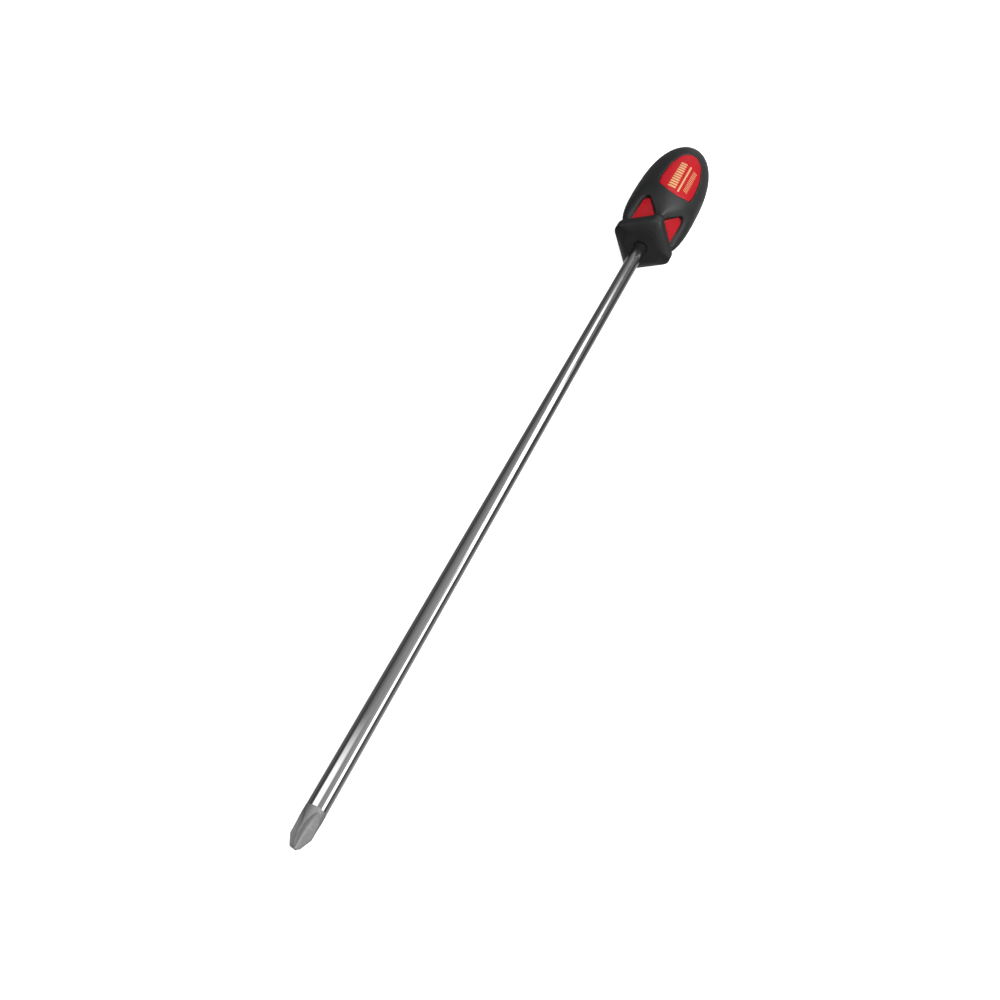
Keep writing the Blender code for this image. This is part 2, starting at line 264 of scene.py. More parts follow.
class Shell:
    """Gathers points and faces, then makes an object of them."""

    def __init__(self):
        self.points = []
        self.faces = []
        self.slots = []

    def add(self, points):
        start = len(self.points)
        self.points.extend(points)
        return list(range(start, len(self.points)))

    def face(self, corners, slot=0):
        self.faces.append(corners)
        self.slots.append(slot)

    def bridge(self, a, b, slot=0):
        """Quads between two closed rings of the same number of points."""
        for i in range(len(a)):
            j = (i + 1) % len(a)
            self.face((a[i], a[j], b[j], b[i]), slot)

    def cap(self, ring, centre, slot=0):
        """Triangles from a closed ring to a new point at its centre."""
        middle = self.add([centre])[0]
        for i in range(len(ring)):
            self.face((ring[i], ring[(i + 1) % len(ring)], middle), slot)

    def chain(self, rings, slot=0):
        """Bridges each list of points to the next, and returns the rings' indices."""
        loops = [self.add(ring) for ring in rings]
        for a, b in zip(loops, loops[1:]):
            self.bridge(a, b, slot)
        return loops

    def make(self, name, materials, sharp_angle=SHARP_ANGLE):
        """An object of the faces, with smooth shading except at sharp edges."""
        mesh = bpy.data.meshes.new(name)
        mesh.from_pydata([tuple(p) for p in self.points], [], self.faces)
        for material in materials:
            mesh.materials.append(material)
        mesh.polygons.foreach_set("material_index", self.slots)
        bm = bmesh.new()
        bm.from_mesh(mesh)
        unused = [vertex for vertex in bm.verts if not vertex.link_faces]
        bmesh.ops.delete(bm, geom=unused, context="VERTS")
        bmesh.ops.recalc_face_normals(bm, faces=bm.faces)
        bm.to_mesh(mesh)
        bm.free()
        mesh.shade_smooth()
        mesh.set_sharp_from_angle(angle=sharp_angle)
        obj = bpy.data.objects.new(name, mesh)
        bpy.context.scene.collection.objects.link(obj)
        return obj


def quarter_turn(count):
    """Sine and cosine of even steps from nothing to a right angle."""
    angles = [math.pi / 2 * k / count for k in range(count + 1)]
    return [(math.sin(angle), math.cos(angle)) for angle in angles]


def rise(t, shape):
    """A curve from 0 to 1 that starts steeply and levels off."""
    power, ease = shape
    return (1 - (1 - t) ** power) ** ease


def profile(depth):
    """Distances from the axis to the flats and to the corners of the handle's section."""
    if depth < SHOULDER_DEPTH:
        t = 1 - (1 - depth / SHOULDER_DEPTH) ** SHOULDER_POWER
        flat = FACE_RADIUS + (FLANGE_FLAT - FACE_RADIUS) * t
        return flat, FACE_RADIUS + (FLANGE_CORNER - FACE_RADIUS) * t
    if depth <= FLANGE_BACK:
        return FLANGE_FLAT, FLANGE_CORNER
    if depth <= NECK_DEPTH:
        t = (1 - math.cos(math.pi * (depth - FLANGE_BACK) / (NECK_DEPTH - FLANGE_BACK))) / 2
        flat = FLANGE_FLAT + (NECK_FLAT - FLANGE_FLAT) * t
        return flat, FLANGE_CORNER + (NECK_CORNER - FLANGE_CORNER) * t
    if depth < PALM_DEPTH:
        t = (depth - NECK_DEPTH) / (PALM_DEPTH - NECK_DEPTH)
        flat = NECK_FLAT + (PALM_RADIUS - NECK_FLAT) * rise(t, FLAT_RISE)
        return flat, NECK_CORNER + (PALM_RADIUS - NECK_CORNER) * rise(t, CORNER_RISE)
    reach = (HANDLE - PALM_DEPTH) / (1 - (BUTT_RADIUS / PALM_RADIUS) ** 2) ** (1 / BUTT_POWER)
    radius = PALM_RADIUS * math.sqrt(1 - ((depth - PALM_DEPTH) / reach) ** BUTT_POWER)
    return radius, radius


def skin(depth, azimuth, inset=0.0):
    """A point of the handle's surface, or below it. Azimuth 0 is +Z, and it turns towards +Y."""
    flat, corner = profile(depth)
    rounding = max((ROOT2 * flat - corner) / (ROOT2 - 1) - inset, MIN_CORNER)
    flat -= inset
    straight = max(flat - rounding, 0.0)
    off_flat = abs(azimuth % (math.pi / 2) - math.pi / 4)
    if math.tan(off_flat) * flat <= straight:
        radius = flat / math.cos(off_flat)
    else:
        reach = straight * (math.cos(off_flat) + math.sin(off_flat))
        radius = reach + math.sqrt(max(reach**2 - 2 * straight**2 + rounding**2, 0.0))
    press = 1 - PALM_PRESS * min(max((depth - NECK_DEPTH) / (PALM_DEPTH - NECK_DEPTH), 0.0), 1.0)
    return Vector((HANDLE - depth, radius * math.sin(azimuth), radius * math.cos(azimuth) * press))


def azimuth_at(depth, side, centre):
    """The azimuth of the surface point that lies this far sideways of the centre azimuth."""
    turn = 0.0
    for _ in range(6):
        point = skin(depth, centre + turn)
        turn = math.asin(max(-1.0, min(1.0, side / math.hypot(point.y, point.z))))
    return centre + turn


AZIMUTHS = [2 * math.pi * i / COLUMNS for i in range(COLUMNS)]


def skin_ring(depth, inset=0.0):
    return [skin(depth, azimuth, inset) for azimuth in AZIMUTHS]


def on_section(x, azimuth, radius):
    return Vector((x, radius * math.sin(azimuth), radius * math.cos(azimuth)))


def round_ring(x, radius):
    return [on_section(x, azimuth, radius) for azimuth in AZIMUTHS]


def steps(start, end, step):
    """Even values from start to end, about a step apart, with both ends."""
    count = max(1, round(abs(end - start) / step))
    return [start + (end - start) * i / count for i in range(count + 1)]


def mix_rings(a, b, t):
    return [p.lerp(q, t) for p, q in zip(a, b)]


class Outline:
    """A convex outline in (depth, sideways) with rounded corners, drawn at any offset."""

    def __init__(self, corners, spacing=0.7 * MM, turn_step=math.radians(9)):
        self.arcs = []
        count = len(corners)
        for i, (x, y, radius) in enumerate(corners):
            here = Vector((x, y))
            before = (Vector(corners[i - 1][:2]) - here).normalized()
            after = (Vector(corners[(i + 1) % count][:2]) - here).normalized()
            half = before.angle(after) / 2
            centre = here + (before + after).normalized() * (radius / math.sin(half))
            start = (here + before * (radius / math.tan(half)) - centre).normalized()
            turn = math.pi - 2 * half
            way = 1 if before.cross(after) < 0 else -1
            self.arcs.append((centre, start, radius, way * turn, max(2, round(turn / turn_step))))
        self.straight_steps = []
        for arc, following in zip(self.arcs, self.arcs[1:] + self.arcs[:1]):
            length = (self.arc_points(following, 0.0)[0] - self.arc_points(arc, 0.0)[-1]).length
            self.straight_steps.append(max(1, round(length / spacing)))

    @staticmethod
    def arc_points(arc, offset):
        centre, start, radius, turn, count = arc
        spread = start * (radius + offset)
        return [centre + Matrix.Rotation(turn * k / count, 2) @ spread for k in range(count + 1)]

    def points(self, offset=0.0):
        rows = [self.arc_points(arc, offset) for arc in self.arcs]
        found = []
        for row, following, count in zip(rows, rows[1:] + rows[:1], self.straight_steps):
            found += row
            found += [row[-1].lerp(following[0], k / count) for k in range(1, count)]
        return found


class Patch:
    """The area within a convex polygon of points in a plane."""

    def __init__(self, polygon):
        self.low = [min(p[k] for p in polygon) for k in range(2)]
        self.high = [max(p[k] for p in polygon) for k in range(2)]
        middle = sum(polygon, Vector((0.0, 0.0))) / len(polygon)
        self.sides = []
        for a, b in zip(polygon, polygon[1:] + polygon[:1]):
            inward = Vector((a.y - b.y, b.x - a.x)).normalized()
            self.sides.append((a, inward if inward.dot(middle - a) > 0 else -inward))

    def holds(self, point, margin=0.0):
        """Whether a point lies within the area, or closer to it than the margin."""
        for k in range(2):
            if not self.low[k] - margin <= point[k] <= self.high[k] + margin:
                return False
        return all(inward.dot(point - a) > -margin for a, inward in self.sides)


WINDOW = Outline(
    [
        (WINDOW_BASE, -WINDOW_HALF_WIDTH, WINDOW_BASE_ROUNDING),
        (WINDOW_BASE + WINDOW_LENGTH, 0.0, WINDOW_TIP_ROUNDING),
        (WINDOW_BASE, WINDOW_HALF_WIDTH, WINDOW_BASE_ROUNDING),
    ]
)
SHIELD = Outline(list(SHIELD_CORNERS) + [(x, -y, r) for x, y, r in reversed(SHIELD_CORNERS)])

OPENINGS = []
for face in (0.0, math.pi):
    for side in (-1, 1):
        OPENINGS.append((WINDOW, face + side * WINDOW_AZIMUTH, WINDOW_LIP))
    OPENINGS.append((SHIELD, face, SHIELD_LIP))


def placed(outline_points, centre, inset):
    """Outline points carried onto the handle, at a depth below its surface."""
    return [skin(p.x, azimuth_at(p.x, p.y, centre), inset) for p in outline_points]


def lip_profile(lip):
    """(offset outwards, drop) of the rings round an opening, from its surroundings to its wall."""
    rings = [(COLLAR, 0.0), (COLLAR * 0.75, 0.0), (lip + (COLLAR - lip) * 0.45, 0.0)]
    rings += [(lip * (1 - sine), lip * (1 - cosine)) for sine, cosine in quarter_turn(LIP_STEPS)]
    return rings


def field_faces(rows):
    """Triangles of the stretch with openings.

    A corner is ("grid", row, column) or ("loop", opening, point of its outermost ring).
    """
    flat_points = []
    keys = []
    loops = []
    patches = []
    start = math.pi / 2
    for number, (outline, centre, _) in enumerate(OPENINGS):
        ring = outline.points(COLLAR)
        loop = []
        for k, p in enumerate(ring):
            azimuth = (azimuth_at(p.x, p.y, centre) - start) % (2 * math.pi)
            loop.append(Vector((p.x, azimuth * FIELD_SCALE)))
            keys.append(("loop", number, k))
        loops.append((len(flat_points), len(loop)))
        flat_points += loop
        patches.append(Patch(loop))
    for row, depth in enumerate(rows):
        for column in range(COLUMNS + 1):
            azimuth = 2 * math.pi * column / COLUMNS
            p = Vector((depth, azimuth * FIELD_SCALE))
            if any(patch.holds(p, FIELD_MARGIN) for patch in patches):
                continue
            flat_points.append(p)
            keys.append(("grid", row, (column + COLUMNS // 4) % COLUMNS))
    edges = [(first + k, first + (k + 1) % count) for first, count in loops for k in range(count)]
    points, _, faces, sources, _, _ = delaunay_2d_cdt(flat_points, edges, [], 0, DELAUNAY_LIMIT)
    found = []
    for face in faces:
        centre = sum((points[i] for i in face), Vector((0.0, 0.0))) / len(face)
        if any(patch.holds(centre) for patch in patches):
            continue
        found.append(tuple(keys[sources[i][0]] for i in face))
    return found


def grip_sheets(shell):
    """The outer and inner skin where the openings lie: their rows, and each opening's rings."""
    rows = steps(FIELD_START, FIELD_END, ROW)
    triangles = field_faces(rows)
    sheets = []
    for inset in (0.0, GRIP_WALL):
        grid = [shell.add(skin_ring(depth, inset)) for depth in rows]
        loops = []
        for outline, centre, lip in OPENINGS:
            edge = [(COLLAR, inset), (0.0, inset)] if inset else lip_profile(lip)
            rings = [placed(outline.points(offset), centre, drop) for offset, drop in edge]
            loops.append(shell.chain(rings))
        sources = {"grid": grid, "loop": [loop[0] for loop in loops]}
        for corners in triangles:
            shell.face(tuple(sources[kind][a][b] for kind, a, b in corners))
        sheets.append((grid, loops))
    return sheets


def grip_front(shell, outer_start, inner_start):
    """The wall of the shank's hole, the face, the shoulder and the front of the cavity."""
    rings = [round_ring(HANDLE - FRONT_WALL, SHANK_OPENING)]
    for sine, cosine in quarter_turn(EDGE_STEPS):
        radius = SHANK_OPENING + HOLE_EDGE * (1 - cosine)
        rings.append(round_ring(HANDLE - HOLE_EDGE * (1 - sine), radius))
    face_start, face_edge = rings[-1], skin_ring(0.0)
    rings += [mix_rings(face_start, face_edge, t) for t in FACE_STEPS]
    # Rings up to here take the front face's rubber: rougher, and darker as painted shade
    dull_shaded_rings = len(rings) + SHADED_FACE_RINGS
    rings += [skin_ring(SHOULDER_DEPTH * k / SHOULDER_STEPS) for k in range(SHOULDER_STEPS + 1)]
    rings += [skin_ring(depth) for depth in steps(SHOULDER_DEPTH, FIELD_START, ROW)[1:-1]]
    front = [shell.add(ring) for ring in rings]
    for k, (a, b) in enumerate(zip(front, front[1:])):
        shell.bridge(a, b, 1 if k < dull_shaded_rings else 0)
    shell.bridge(front[-1], outer_start)

    cavity_front = skin_ring(FRONT_WALL, GRIP_WALL)
    cavity_depths = steps(FRONT_WALL, FIELD_START, HIDDEN_ROW)[1:-1]
    cavity = [mix_rings(rings[0], cavity_front, 0.5), cavity_front]
    cavity = shell.chain(cavity + [skin_ring(depth, GRIP_WALL) for depth in cavity_depths])
    shell.bridge(front[0], cavity[0])
    shell.bridge(cavity[-1], inner_start)


def grip_butt(shell, outer_end, inner_end):
    """Round the butt, over a rounded edge onto the flat ring, into its opening and back inside."""
    shares = [(1 - t) ** 1.5 for t in steps(0.0, 1.0, 0.04)[1:]]
    depths = [HANDLE - (HANDLE - FIELD_END) * share for share in shares]
    rings = [skin_ring(depth) for depth in depths if depth < HANDLE - BUTT_EDGE]
    last = rings[-1]
    corner = [Vector((BUTT_X, p.y, p.z)) for p in skin_ring(HANDLE)]
    flat_edge = round_ring(BUTT_X, BUTT_RADIUS - BUTT_EDGE)
    for t in BUTT_EDGE_STEPS:
        points = zip(last, flat_edge, corner)
        rings.append([a * (1 - t) ** 2 + c * 2 * t * (1 - t) + b * t**2 for a, b, c in points])
    rings.append(flat_edge)
    for sine, cosine in quarter_turn(EDGE_STEPS):
        radius = BUTT_OPENING + RING_EDGE * (1 - sine)
        rings.append(round_ring(BUTT_X + RING_EDGE * (1 - cosine), radius))
    rings.append(round_ring(BUTT_X + BUTT_WALL, BUTT_OPENING))
    back = shell.chain(rings)
    shell.bridge(outer_end, back[0])
    inner_depths = steps(FIELD_END, HANDLE - BUTT_WALL, HIDDEN_ROW)[1:]
    inner = shell.chain([skin_ring(depth, GRIP_WALL) for depth in inner_depths])
    shell.bridge(inner_end, inner[0])
    shell.bridge(inner[-1], back[-1])


def make_grip(material, shaded_face_material):
    """A closed rubber shell: outer skin, lips and walls of the openings, and the inner skin."""
    shell = Shell()
    (outer_grid, outer_loops), (inner_grid, inner_loops) = grip_sheets(shell)
    for outer, inner in zip(outer_loops, inner_loops):
        shell.bridge(outer[-1], inner[-1])
    grip_front(shell, outer_grid[0], inner_grid[0])
    grip_butt(shell, outer_grid[-1], inner_grid[-1])
    return shell.make("grip_skin", [material, shaded_face_material])


def pad_faces(polygon, spacing):
    """Grid points within a convex polygon, and triangles over them and the polygon."""
    patch = Patch(polygon)
    grid = []
    for x in steps(patch.low[0], patch.high[0], spacing)[1:-1]:
        for y in steps(patch.low[1], patch.high[1], spacing)[1:-1]:
            p = Vector((x, y))
            if patch.holds(p, -0.45 * spacing):
                grid.append(p)
    count = len(polygon)
    edges = [(i, (i + 1) % count) for i in range(count)]
    _, _, faces, sources, _, _ = delaunay_2d_cdt(polygon + grid, edges, [], 1, DELAUNAY_LIMIT)
    return grid, [tuple(sources[i][0] for i in face) for face in faces]


def add_pad(shell, outline, centre, shrink, top, foot, rounding):
    """A closed pad whose top and foot follow the handle's surface, at these depths below it."""
    rings = [(-shrink, foot)]
    for sine, cosine in quarter_turn(PAD_EDGE_STEPS):
        rings.append((-shrink - rounding * (1 - cosine), top + rounding * (1 - sine)))
    loops = shell.chain([placed(outline.points(offset), centre, inset) for offset, inset in rings])
    for loop, (offset, inset) in ((loops[-1], rings[-1]), (loops[0], rings[0])):
        grid, faces = pad_faces(outline.points(offset), PAD_GRID)
        index = loop + shell.add(placed(grid, centre, inset))
        for face in faces:
            shell.face(tuple(index[i] for i in face))


def tang_reach(azimuth, winged, gap):
    """Distance from the axis to the tang's surface, or to the hole a gap away from it."""
    if not winged:
        return SHANK_RADIUS + gap
    across = (WING_HALF + gap) / max(abs(math.sin(azimuth)), TINY)
    along = (WING_THICKNESS / 2 + gap) / max(abs(math.cos(azimuth)), TINY)
    return max(SHANK_RADIUS + gap, min(across, along))


def tang_hole():
    """The rings of the core's hole for the tang, from its closed end to the front."""
    sections = (
        (TANG_X - FIT, False),
        (WING_BACK - FIT, False),
        (WING_BACK - FIT, True),
        (WING_FRONT + FIT, True),
        (WING_FRONT + FIT, False),
        (HANDLE - FRONT_WALL - FIT, False),
    )
    rings = []
    for x, winged in sections:
        rings.append([on_section(x, a, tang_reach(a, winged, FIT)) for a in AZIMUTHS])
    return rings


def make_core(material):
    """The core in the grip, with the tang's hole, a disc in the butt and a pad at each opening."""
    disc_radius = BUTT_OPENING - FIT
    rings = tang_hole()
    depths = steps(FRONT_WALL + FIT, HANDLE - BUTT_WALL - FIT, HIDDEN_ROW)
    rings += [skin_ring(depth, GRIP_WALL + FIT) for depth in depths]
    rings.append(round_ring(BUTT_X + BUTT_WALL + FIT, disc_radius))
    for sine, cosine in quarter_turn(EDGE_STEPS):
        radius = disc_radius - DISC_EDGE * (1 - cosine)
        rings.append(round_ring(BUTT_X + DISC_EDGE * (1 - sine), radius))
    rings.append(round_ring(BUTT_X, disc_radius / 2))
    body = Shell()
    loops = body.chain(rings)
    body.cap(loops[0], Vector((TANG_X - FIT, 0, 0)))
    body.cap(loops[-1], Vector((BUTT_X, 0, 0)))
    core = body.make("core_body", [material])

    pads = Shell()
    for outline, centre, _ in OPENINGS:
        recess, edge = (SHIELD_RECESS, SHIELD_PAD_EDGE)
        if outline is WINDOW:
            recess, edge = (WINDOW_RECESS, WINDOW_PAD_EDGE)
        add_pad(pads, outline, centre, FIT, recess, GRIP_WALL + PAD_FOOT, edge)
    pad_object = pads.make("core_pads", [material])
    union = core.modifiers.new("pads", "BOOLEAN")
    union.operation = "UNION"
    union.object = pad_object
    joined = core.evaluated_get(bpy.context.evaluated_depsgraph_get())
    mesh = bpy.data.meshes.new_from_object(joined)
    core.modifiers.clear()
    core.data = mesh
    bpy.data.objects.remove(pad_object)
    mesh.shade_smooth()
    mesh.set_sharp_from_angle(angle=SHARP_ANGLE)
    return core


# ---------------------------------------------------------------- blade


def flute_bottom(back):
    """Distance from the axis to a flute's bottom, this far back from the end of the point."""
    height = FLUTE_START + back * math.tan(FLUTE_SLOPE)
    past = min(back - FLUTE_STRAIGHT, FLUTE_RUN_OUT)
    if past > 0:
        height += FLUTE_RUN_OUT - math.sqrt(FLUTE_RUN_OUT**2 - past**2)
    return height


def flute_flank(bottom, q, hollow):
    """Distance from the axis, along the flute's middle plane, of its wall this far sideways."""
    softened = math.sqrt(q * q + hollow**2) - hollow
    return bottom + softened / math.tan(FLUTE_HALF_ANGLE)


def last_below(low, high, within):
    """The largest value between two for which a test still holds, by halving."""
    for _ in range(HALVINGS):
        middle = (low + high) / 2
        if within(middle):
            low = middle
        else:
            high = middle
    return low


def land(radius, start, end):
    """Points on the circle between two angles, without the last."""
    angles = [start + (end - start) * k / LAND_STEPS for k in range(LAND_STEPS)]
    return [(radius * math.cos(angle), radius * math.sin(angle)) for angle in angles]


def point_ring(x, radius):
    """A section of the point: four lands on a circle, with a flute between each two."""
    back = TIP_X - x
    bottom = flute_bottom(back)
    hollow = FLUTE_HOLLOW + FLUTE_WIDENING * min(back / FLUTE_END, 1.0)
    cut = bottom < radius
    reach = 0.0
    if cut:
        reach = last_below(
            0.0, radius, lambda q: math.hypot(flute_flank(bottom, q, hollow), q) < radius
        )
    edge_angle = math.asin(reach / radius)
    quarter = land(radius, -math.pi / 4, -edge_angle)
    for k in range(2 * FLANK_STEPS):
        q = -reach + reach * k / FLANK_STEPS
        p = flute_flank(bottom, q, hollow) if cut else radius
        quarter.append((min(p, math.sqrt(max(radius**2 - q * q, 0.0))), q))
    quarter += land(radius, edge_angle, math.pi / 4)
    points = []
    for turn in range(4):
        way = FLUTE_AZIMUTH + turn * math.pi / 2
        for p, q in quarter:
            y = p * math.sin(way) + q * math.cos(way)
            z = p * math.cos(way) - q * math.sin(way)
            points.append(Vector((x, y, z)))
    return points


def point_sections():
    """(distance back from the end, radius) of the point's sections, up to the plating."""
    cone_back = BLUNT_RISE + (SHANK_RADIUS - BLUNT_RADIUS) / math.tan(POINT_HALF_ANGLE)
    sections = [(0.0, BLUNT_FLAT)]
    for t in (0.5, 1.0):
        sections.append((BLUNT_RISE * t, BLUNT_FLAT + (BLUNT_RADIUS - BLUNT_FLAT) * t))
    for back in steps(BLUNT_RISE, cone_back, CONE_ROW)[1:-1]:
        sections.append((back, BLUNT_RADIUS + (back - BLUNT_RISE) * math.tan(POINT_HALF_ANGLE)))
    sections.append((cone_back, SHANK_RADIUS - POINT_EDGE_DROP))
    furthest = FLUTE_STRAIGHT + FLUTE_RUN_OUT * 0.9
    run_out = last_below(FLUTE_STRAIGHT, furthest, lambda back: flute_bottom(back) < SHANK_RADIUS)
    backs = steps(cone_back + POINT_EDGE, FLUTE_STRAIGHT, POINT_ROW)
    for t in steps(0.0, 1.0, 0.05)[1:]:
        backs.append(FLUTE_STRAIGHT + (run_out - FLUTE_STRAIGHT) * (1 - (1 - t) ** 2))
    return sections + [(back, SHANK_RADIUS) for back in backs + [POINT_LENGTH]]


def tang_ring(x, winged, inset=0.0):
    """A section of the tang, with a point for each of the point's sections."""
    points = []
    for p in point_ring(x, SHANK_RADIUS - inset):
        azimuth = math.atan2(p.y, p.z)
        points.append(on_section(x, azimuth, tang_reach(azimuth, winged, -inset)))
    return points


def make_blade(chrome, bare_steel):
    """The bar in one piece: bare fluted point, plated shank and a tang with two wings."""
    shell = Shell()
    bare = shell.chain([point_ring(TIP_X - back, radius) for back, radius in point_sections()], 1)
    shell.cap(bare[0], Vector((TIP_X, 0, 0)), 1)
    plated = steps(TIP_X - POINT_LENGTH, WING_FRONT, BAR_ROW)[1:]
    rings = [point_ring(x, SHANK_RADIUS) for x in plated]
    rings += [tang_ring(WING_FRONT, True), tang_ring(WING_BACK, True), tang_ring(WING_BACK, False)]
    rings += [tang_ring(TANG_X + TANG_CHAMFER, False), tang_ring(TANG_X, False, TANG_CHAMFER)]
    bar = shell.chain(rings)
    shell.bridge(bare[-1], bar[0])
    shell.cap(bar[-1], Vector((TANG_X, 0, 0)))
    return shell.make("blade_bar", [chrome, bare_steel], POINT_SHARP_ANGLE)


# ---------------------------------------------------------------- marks on the shield


def bar_outline(depth, side, length, width):
    """A bar with small round corners, centred at this depth and distance to the side."""
    rounding = 0.3 * min(length, width)
    corners = []
    for along, across in ((-1, -1), (1, -1), (1, 1), (-1, 1)):
        corners.append((depth + along * length / 2, side + across * width / 2, rounding))
    return Outline(corners, spacing=1.0 * MM, turn_step=math.radians(30))


def make_foil(material):
    """A gold rule with a row of short gold dashes on each side of it."""
    marks = [RULE]
    depth, side, length, width = WIDE_DASH
    for k in range(WIDE_DASHES):
        marks.append((depth + k * WIDE_DASH_PITCH, side, length, width - k * WIDE_DASH_TAPER))
    depth, side, length, width = THIN_DASH
    marks += [(depth + k * THIN_DASH_PITCH, side, length, width) for k in range(THIN_DASHES)]
    top, foot = SHIELD_RECESS - MARK_HEIGHT, SHIELD_RECESS + MARK_FOOT
    shell = Shell()
    for mark in marks:
        add_pad(shell, bar_outline(*mark), 0.0, 0.0, top, foot, MARK_EDGE)
    return shell.make("foil_marks", [material])


# ---------------------------------------------------------------- materials


def new_material(name, colour, roughness, metallic=0.0):
    material = bpy.data.materials.new(name)
    material.use_nodes = True
    nodes, links = material.node_tree.nodes, material.node_tree.links
    shader = nodes["Principled BSDF"]
    shader.inputs["Base Color"].default_value = (*colour, 1.0)
    shader.inputs["Roughness"].default_value = roughness
    shader.inputs["Metallic"].default_value = metallic
    return material, nodes, links, shader


def object_coords(nodes, links, scale=(1.0, 1.0, 1.0)):
    coords = nodes.new("ShaderNodeTexCoord")
    mapping = nodes.new("ShaderNodeMapping")
    mapping.inputs["Scale"].default_value = scale
    links.new(coords.outputs["Object"], mapping.inputs["Vector"])
    return mapping.outputs["Vector"]


def noise(nodes, links, vector, scale, detail=3.0, roughness=0.5):
    node = nodes.new("ShaderNodeTexNoise")
    node.inputs["Scale"].default_value = scale
    node.inputs["Detail"].default_value = detail
    node.inputs["Roughness"].default_value = roughness
    links.new(vector, node.inputs["Vector"])
    return node.outputs["Fac"]


def spread(nodes, links, value, from_low, from_high, low, high):
    node = nodes.new("ShaderNodeMapRange")
    node.inputs["From Min"].default_value = from_low
    node.inputs["From Max"].default_value = from_high
    node.inputs["To Min"].default_value = low
    node.inputs["To Max"].default_value = high
    links.new(value, node.inputs["Value"])
    return node.outputs["Result"]


def blend_colours(nodes, links, factor, a, b):
    node = nodes.new("ShaderNodeMix")
    node.data_type = "RGBA"
    node.inputs["A"].default_value = (*a, 1.0)
    node.inputs["B"].default_value = (*b, 1.0)
    links.new(factor, node.inputs["Factor"])
    return node.outputs["Result"]


def bump(nodes, links, shader, height, distance, strength=1.0):
    node = nodes.new("ShaderNodeBump")
    node.inputs["Distance"].default_value = distance
    node.inputs["Strength"].default_value = strength
    links.new(height, node.inputs["Height"])
    links.new(node.outputs["Normal"], shader.inputs["Normal"])


def rubber_material(name, colour, dusty, roughness):
    """Moulded rubber: a fine matt grain, with faint smudges that are paler and duller."""
    material, nodes, links, shader = new_material(name, colour, roughness)
    vector = object_coords(nodes, links)
    smudge = noise(nodes, links, vector, 70.0, 4.0, 0.6)
    links.new(blend_colours(nodes, links, smudge, colour, dusty), shader.inputs["Base Color"])
    uneven = spread(nodes, links, smudge, 0.3, 0.7, roughness - 0.05, roughness + 0.07)
    links.new(uneven, shader.inputs["Roughness"])
    grain = noise(nodes, links, vector, 2600.0, 2.0)
    bump(nodes, links, shader, grain, 0.03 * MM, 0.35)
    shader.inputs["Specular IOR Level"].default_value = 0.5
    return material


def plastic_material():
    """Glossy red plastic with a very slight ripple from the mould."""
    material, nodes, links, shader = new_material("red_plastic", RED, 0.3)
    vector = object_coords(nodes, links)
    cloud = noise(nodes, links, vector, 60.0, 3.0)
    links.new(blend_colours(nodes, links, cloud, RED, DEEP_RED), shader.inputs["Base Color"])
    links.new(spread(nodes, links, cloud, 0.3, 0.7, 0.26, 0.36), shader.inputs["Roughness"])
    ripple = noise(nodes, links, vector, 500.0, 2.0)
    bump(nodes, links, shader, ripple, 0.02 * MM, 0.25)
    shader.inputs["Specular IOR Level"].default_value = 0.25
    return material


def chrome_material():
    """Bright plating over a ground bar: faint rings from grinding, and roughness that varies in
    clouds.
    """
    material, nodes, links, shader = new_material("chrome_plate", CHROME, 0.1, 1.0)
    rings = noise(nodes, links, object_coords(nodes, links, (9000.0, 60.0, 60.0)), 1.0, 2.0)
    cloud = noise(nodes, links, object_coords(nodes, links), 90.0, 4.0, 0.65)
    links.new(spread(nodes, links, cloud, 0.3, 0.75, 0.05, 0.09), shader.inputs["Roughness"])
    bump(nodes, links, shader, rings, 0.001 * MM, 0.1)
    return material


def bare_steel_material():
    """Unplated, bead-blasted steel with cutter marks along the flutes."""
    material, nodes, links, shader = new_material("bare_steel", STEEL, 0.55, 0.7)
    vector = object_coords(nodes, links)
    mottle = noise(nodes, links, vector, 900.0, 4.0, 0.6)
    links.new(blend_colours(nodes, links, mottle, STEEL, DARK_STEEL), shader.inputs["Base Color"])
    links.new(spread(nodes, links, mottle, 0.3, 0.7, 0.48, 0.65), shader.inputs["Roughness"])
    cuts = noise(nodes, links, object_coords(nodes, links, (500.0, 6000.0, 6000.0)), 1.0, 3.0)
    bump(nodes, links, shader, cuts, 0.01 * MM, 0.4)
    return material


def foil_material():
    """Hot-stamped gold foil, a little worn."""
    material, nodes, links, shader = new_material("gold_foil", GOLD, 0.4, 0.3)
    vector = object_coords(nodes, links)
    worn = noise(nodes, links, vector, 1500.0, 3.0)
    links.new(blend_colours(nodes, links, worn, GOLD, WORN_GOLD), shader.inputs["Base Color"])
    links.new(spread(nodes, links, worn, 0.3, 0.7, 0.3, 0.45), shader.inputs["Roughness"])
    return material


def floor_material():
    """A pale surface that glows a little, so that it stays even."""
    material, nodes, links, shader = new_material("pale_floor", PALE, 0.9)
    vector = object_coords(nodes, links)
    tone = noise(nodes, links, vector, 3.0, 2.0)
    links.new(blend_colours(nodes, links, tone, PALE, LESS_PALE), shader.inputs["Base Color"])
    shader.inputs["Specular IOR Level"].default_value = 0.0
    shader.inputs["Emission Color"].default_value = (1.0, 1.0, 1.0, 1.0)
    shader.inputs["Emission Strength"].default_value = FLOOR_GLOW
    return material


# ---------------------------------------------------------------- stage


